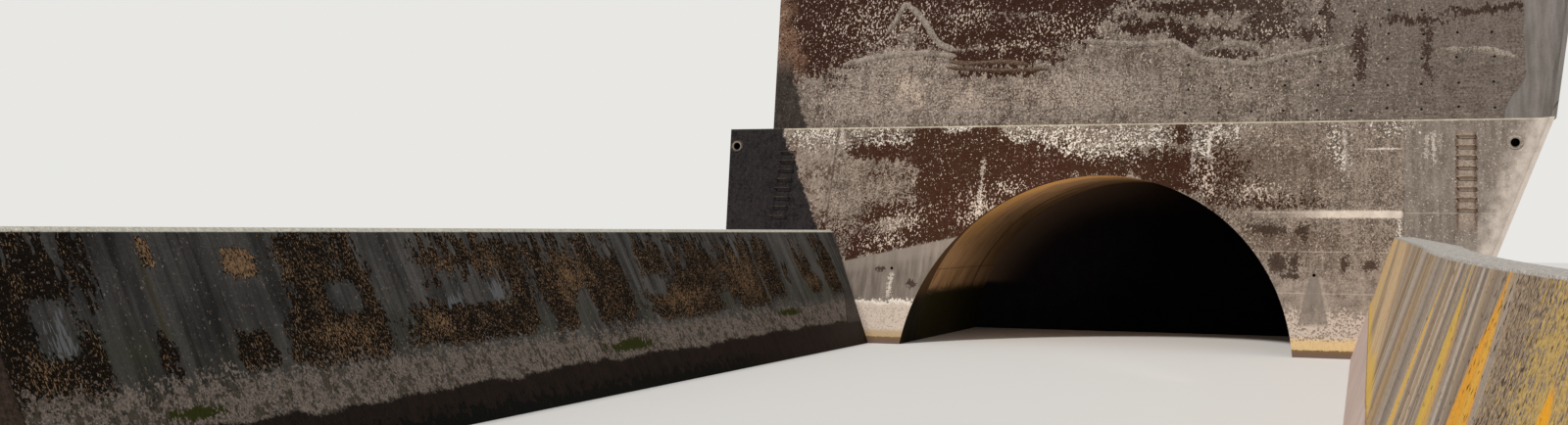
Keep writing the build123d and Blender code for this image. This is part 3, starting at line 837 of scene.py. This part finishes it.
    # Beyond the orange streak: dark speckle under mottled yellow
    leaning = along(z, 0.1, fray(sway, lumps, 0.14))
    far = above(leaning, 28.5, 0.08)
    paint.lay(blend(above(grit, 0.5, 0.3), (116, 98, 80), (170, 150, 130)), far, 0.85)
    mottle = add(times(lumps, 0.5), times(wide_drip, 0.5))
    share = fray(ramp(leaning, 28.8, 29.7, 0.0, 0.66), mottle, 1.0)
    lichen_mask = paint.speckle(share, 0.035, seed=53, down=3.5, place=flat)
    lichen = blend(grit, (180, 148, 88), (218, 184, 108))
    lichen_mask = times(lichen_mask, far)
    paint.lay(lichen, lichen_mask, 0.85)
    blob = above(fray(paint.patches(flat, ((29.82, 1.55, 0.1, 0.34),)), lumps, 0.8), 0.0, 0.3)
    paint.lay(orange, blob)
    pit_share = ramp(leaning, 28.3, 28.6, 0.0, 0.2)
    pit_share = times(pit_share, below(leaning, 29.5, 0.4), along(lumps, 1.2, 0.4))
    pit_share = add(pit_share, times(line(sway, 27.9, 0.35, 0.1), 0.12))
    pits = paint.speckle(pit_share, 0.045, seed=57, down=3.0, place=flat)
    paint.lay((66, 50, 38), pits, 0.85)
    paint.shade(along(above(station, 26.0, 0.6), -0.12, 1.0))

    # Rubbed smooth low down, with a line of lichen along its top
    over_rubbed = along(station, 0.0125, add(fray(z, drip, 0.05), -1.3))
    over_rubbed = along(either(add(station, -22.6), 0.0), 0.14, over_rubbed)
    rubbed = below(over_rubbed, 0.0, 0.02)
    smooth = shade(blend(cloud, (196, 172, 162), (214, 192, 182)), along(drip, 0.16, 0.9))
    paint.lay(smooth, rubbed, 0.95)
    lichen_top = along(wide_drip, 0.34, 0.05)
    lichen_top = along(band(station, 18.0, 22.6, 1.2), 0.16, lichen_top)
    edge = below(less(over_rubbed, lichen_top), 0.0, 0.1)
    edge = without(times(edge, below(station, 23.2, 0.3)), rubbed)
    paint.lay(gold, edge, 0.85)
    rim = times(line(over_rubbed, 0.01, 0.02, 0.02), 0.7)
    paint.lay((126, 98, 78), rim)

    # Dusty top, and the plain back and near end
    plain, height = concrete_base(paint)
    rear = either(above(inland, RIGHT_BACK, 0.01), above(station, RIGHT_NEAR_END, 0.005))
    paint.lay(plain, rear)
    first, later = maths("MINIMUM", ahead, FLARE_START), either(beyond, 0.0)
    over_top = along(first, RIGHT_TOP_FALL, along(later, FLARE_TOP_FALL, z))
    top = above(over_top, RIGHT_HEIGHT - 0.03, 0.01)
    grains = paint.noise(0.04, 2.0, seed=59)
    paint.lay(blend(grains, (140, 136, 130), (206, 199, 190)), top)
    relief = add(times(drip, 0.4), times(grit, 0.6))
    return paint.finish(0.85, relief, 0.006)


def mortar_paint():
    paint = Paint("mortar")
    paint.colour, height = concrete_base(paint, (126, 116, 106), (178, 168, 155))
    # Painted shade: the collar left of the arch made dark, as in the hillside's shadow
    paint.shade(along(above(paint.x, 0.0, 0.5), 0.8, 0.2))
    return paint.finish(0.9, height, 0.004)


def patch_paint():
    paint = Paint("patch_mortar", lean_y=-SLOPE)
    paint.colour, height = concrete_base(paint, (98, 88, 79), (162, 149, 137))
    return paint.finish(0.92, height, 0.008)


def scar_paint():
    paint = Paint("broken_edge", lean_y=-SLOPE)
    grit = paint.noise(0.05, 2.0)
    paint.colour = blend(grit, (44, 30, 23), (128, 106, 90))
    return paint.finish(0.92, grit, 0.01)


def clay_paint():
    paint = Paint("clay_pipe")
    depth = along(paint.z, -SLOPE, paint.y)
    rim = blend(paint.noise(0.03), (128, 112, 98), (160, 146, 132))
    # Painted shade inside the pipe, past its mouth
    paint.colour = blend(above(depth, 0.015, 0.02), rim, (44, 37, 32))
    return paint.finish(0.75, paint.noise(0.02), 0.002)


def iron_paint():
    paint = Paint("rusted_iron")
    scale = paint.noise(0.02)
    cloud = paint.noise(0.09, seed=5)
    paint.colour = blend(cloud, (118, 90, 70), (206, 184, 160))
    paint.lay((84, 56, 42), above(scale, 0.7, 0.15))
    # Painted shade: the irons left of the arch made dark, as in the hillside's shadow
    paint.shade(along(above(paint.x, 0.0, 0.5), 0.8, 0.2))
    feed(paint.inlets["Metallic"], 0.1)
    return paint.finish(0.8, scale, 0.003)


def dark_paint():
    paint = Paint("hole_shadow")
    paint.colour = blend(paint.noise(0.02), (18, 14, 12), (34, 28, 25))
    return paint.finish(0.95, paint.noise(0.01), 0.001)


# The fixed nodes take their finish by what they are
finishes = {
    "headwall_left_end": headwall_paint("left_end", -11.7, -8.0, 0.0, 6.4),
    "headwall_left_pier": headwall_paint("left_pier", -8.1, -3.1, 0.0, 3.8),
    "headwall_spandrel": headwall_paint("spandrel", -8.1, 8.1, 3.8, 6.4),
    "headwall_right_pier": headwall_paint("right_pier", 3.1, 8.1, 0.0, 3.8),
    "headwall_right": headwall_paint("right_end", 8.0, 11.8, 0.0, 6.4),
    "upper_wall": upper_paint(),
    "barrel": barrel_paint(),
    "barrel_end": bulkhead_paint(),
    "left_wall": left_wall_paint(),
    "right_wall": right_wall_paint(),
    "step_irons": iron_paint(),
    "drain_pipe": clay_paint(),
    "weep_pipe": clay_paint(),
    "drain_collar": mortar_paint(),
}
for name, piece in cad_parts.items():
    kind = max((start for start in finishes if name.startswith(start)), key=len)
    piece.data.materials.clear()
    piece.data.materials.append(finishes[kind])


def put(name, data):
    """A new object in the scene."""
    made = bpy.data.objects.new(name, data)
    bpy.context.scene.collection.objects.link(made)
    return made


def mesh_piece(name, maker, material, smooth):
    """A fixed piece of the scene's own, from the mesh that the maker holds."""
    mesh = bpy.data.meshes.new(name)
    maker.to_mesh(mesh)
    maker.free()
    for face in mesh.polygons:
        face.use_smooth = smooth
    mesh.materials.append(material)
    piece = put(name, mesh)
    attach(piece, "root")


def on_upper_wall(x, level, out):
    """A point on the upper wall's face, or that far in front of it."""
    normal = Vector((0, -1, SLOPE)).normalized()
    return Vector((x, LEDGE_WIDTH + level * SLOPE, level)) + normal * out


def tie_holes():
    """Formwork tie holes, each a low rim round a dark hollow."""
    first_x, last_x, pitch_x = 2.13, 10.5, 0.915
    first_level, last_level, pitch_level = 6.72, 10.6, 0.72
    hole_radius, sides = 0.027, 10
    maker = bmesh.new()
    level = first_level
    while level < last_level:
        x = first_x
        while x < last_x:
            middle_x = x + random.uniform(-0.04, 0.04)
            middle_level = level + random.uniform(-0.04, 0.04)
            rings = []
            for radius, out in ((1.5, -0.002), (1.25, 0.006), (1.0, 0.003), (0.8, 0.001)):
                ring = []
                for side in range(sides):
                    turn = 2 * math.pi * side / sides
                    du = math.cos(turn) * hole_radius * radius
                    dv = math.sin(turn) * hole_radius * radius
                    place = on_upper_wall(middle_x + du, middle_level + dv, out)
                    ring.append(maker.verts.new(place))
                rings.append(ring)
            for outer, inner in zip(rings, rings[1:]):
                for side in range(sides):
                    after = (side + 1) % sides
                    maker.faces.new((outer[side], outer[after], inner[after], inner[side]))
            maker.faces.new(rings[-1])
            x += pitch_x
        level += pitch_level
    mesh_piece("tie_holes", maker, dark_paint(), smooth=False)


def ridge(name, route, half_width, height, material):
    """A trowelled ridge of mortar along a crack: an uneven bead with soft edges."""
    maker = bmesh.new()
    spots = []
    for start, end in zip(route, route[1:]):
        steps = max(2, int((Vector(end) - Vector(start)).length / 0.08))
        for step in range(steps):
            spots.append(Vector(start).lerp(Vector(end), step / steps))
    spots.append(Vector(route[-1]))
    smooth = spots
    for _ in range(3):
        middle = [(a + b * 2 + c) / 4 for a, b, c in zip(smooth, smooth[1:], smooth[2:])]
        smooth = [smooth[0], *middle, smooth[-1]]
    profile = ((-1.0, -0.004), (-0.75, 0.5), (-0.3, 0.95), (0.1, 1.0), (0.6, 0.6), (1.0, -0.004))
    rows = []
    for index, spot in enumerate(smooth):
        ahead = smooth[min(index + 1, len(smooth) - 1)] - smooth[max(index - 1, 0)]
        across = Vector((-ahead.y, ahead.x)).normalized()
        taper = min(1.0, 0.25 + 0.25 * min(index, len(smooth) - 1 - index))
        wide = half_width * taper * random.uniform(0.85, 1.2)
        tall = height * taper * random.uniform(0.8, 1.15)
        row = []
        for side, rise in profile:
            place = spot + across * side * wide
            out = rise * tall if rise > 0 else -0.004
            row.append(maker.verts.new(on_upper_wall(place.x, place.y, out)))
        rows.append(row)
    for one, other in zip(rows, rows[1:]):
        for column in range(len(profile) - 1):
            maker.faces.new((one[column], one[column + 1], other[column + 1], other[column]))
    bmesh.ops.recalc_face_normals(maker, faces=maker.faces)
    mesh_piece(name, maker, material, smooth=True)


tie_holes()
patch_mortar = patch_paint()
crack_routes = {
    "crack_patch_middle": (
        (-1.1, 9.0), (-0.2, 8.9), (0.6, 8.83), (1.7, 8.88), (2.1, 8.6), (2.5, 8.32), (3.3, 8.2),
        (4.1, 8.1), (4.7, 8.3), (5.4, 8.42), (6.5, 8.6),
    ),
    "crack_patch_lens": ((2.75, 8.6), (3.2, 8.74), (3.6, 8.78), (4.0, 8.66), (4.3, 8.4)),
    "crack_patch_right": ((9.0, 8.42), (9.6, 8.36), (10.2, 8.38), (10.7, 8.2), (11.0, 8.1)),
    "crack_patch_arched": (
        (-7.3, 9.4), (-7.0, 9.9), (-6.8, 10.45), (-6.4, 10.15), (-6.0, 9.7), (-5.75, 9.3),
        (-5.45, 9.0), (-4.9, 8.8),
    ),
    "crack_patch_left": ((-8.6, 8.45), (-7.8, 8.62), (-6.9, 8.72), (-5.9, 8.78), (-4.9, 8.62)),
}
for crack_name, crack_route in crack_routes.items():
    ridge(crack_name, crack_route, 0.1, 0.055, patch_mortar)

# A strip broken out of the face above the pale stretch: its two torn edges stand proud
torn = scar_paint()
ridge("scar_upper_edge", ((-5.15, 8.46), (-4.4, 8.38), (-3.3, 8.42), (-2.6, 8.3)), 0.07, 0.05, torn)
ridge("scar_lower_edge", ((-5.2, 8.28), (-4.2, 8.16), (-3.0, 8.12), (-2.0, 8.14)), 0.06, 0.07, torn)

# Camera, placed as the photograph was taken
lens_pixels = 1684.3
photo_width = 1600
camera_place = (8.069, -45.086, 3.284)
yaw, pitch, roll = (math.radians(angle) for angle in (20.59, 0.52, 0.47))
forward = Vector((-math.sin(yaw), math.cos(yaw), 0))
right = Vector((math.cos(yaw), math.sin(yaw), 0))
up = Vector((0, 0, 1))
aim = forward * math.cos(pitch) + up * math.sin(pitch)
top = up * math.cos(pitch) - forward * math.sin(pitch)
side_axis = right * math.cos(roll) + top * math.sin(roll)
top_axis = top * math.cos(roll) - right * math.sin(roll)
camera_data = bpy.data.cameras.new("camera")
camera_data.sensor_width = 36
camera_data.sensor_fit = "HORIZONTAL"
camera_data.lens = lens_pixels / photo_width * camera_data.sensor_width
camera_data.clip_end = 400
camera = put("camera", camera_data)
turned = Matrix((side_axis, top_axis, -aim)).transposed().to_4x4()
camera.matrix_world = Matrix.Translation(camera_place) @ turned
bpy.context.scene.camera = camera

# Floor, sun and backdrop of a plain studio
floor_mesh = bpy.data.meshes.new("floor")
floor_reach = 160
floor_drop = 0.004
corners = [(u * floor_reach, v * floor_reach, 0) for u, v in ((-1, -1), (1, -1), (1, 1), (-1, 1))]
floor_mesh.from_pydata(corners, [], [(0, 1, 2, 3)])
floor = put("floor", floor_mesh)
floor.location.z = -floor_drop
floor_paint = Paint("floor")
rays = floor_paint.nodes.new("ShaderNodeLightPath")
seen = rays.outputs["Is Camera Ray"]
feed(floor_paint.inlets["Base Color"], blend(seen, (150, 146, 140), (222, 220, 216)))
feed(floor_paint.inlets["Roughness"], 0.9)
floor_mesh.materials.append(floor_paint.material)


def lamp(name, kind, heading, energy, colour):
    made = put(name, bpy.data.lights.new(name, kind))
    made.rotation_euler = heading.to_track_quat("-Z", "Y").to_euler()
    made.data.energy = energy
    made.data.color = colour
    return made


sun = lamp("sun", "SUN", Vector((0.3, 0.65, -0.62)), 2.7, (1.0, 0.97, 0.93))
sun.data.angle = math.radians(6)

# Light thrown up into the mouth
glint_place = Vector((4.0, -9.0, 0.5))
glint_heading = Vector((-3.6, 5.0, 3.9)) - glint_place
glint = lamp("glint", "SPOT", glint_heading, 3600, (1.0, 0.9, 0.76))
glint.location = glint_place
glint.data.spot_size = math.radians(40)
glint.data.spot_blend = 1.0
glint.data.shadow_soft_size = 0.6

world = bpy.data.worlds.new("studio")
world.use_nodes = True
studio = world.node_tree.nodes
glow = studio["Background"]
backdrop = studio.new("ShaderNodeBackground")
for surface, colour, strength in (
    (glow, (0.93, 0.96, 1.0, 1), 0.42),
    (backdrop, tone(232, 231, 228), 1.0),
):
    feed(surface.inputs["Color"], colour)
    feed(surface.inputs["Strength"], strength)
seen = studio.new("ShaderNodeLightPath").outputs["Is Camera Ray"]
by_ray = studio.new("ShaderNodeMixShader")
for number, source in enumerate((seen, glow.outputs[0], backdrop.outputs[0])):
    feed(by_ray.inputs[number], source)
feed(studio["World Output"].inputs["Surface"], by_ray.outputs[0])
bpy.context.scene.world = world
bpy.context.scene.view_settings.view_transform = "Standard"
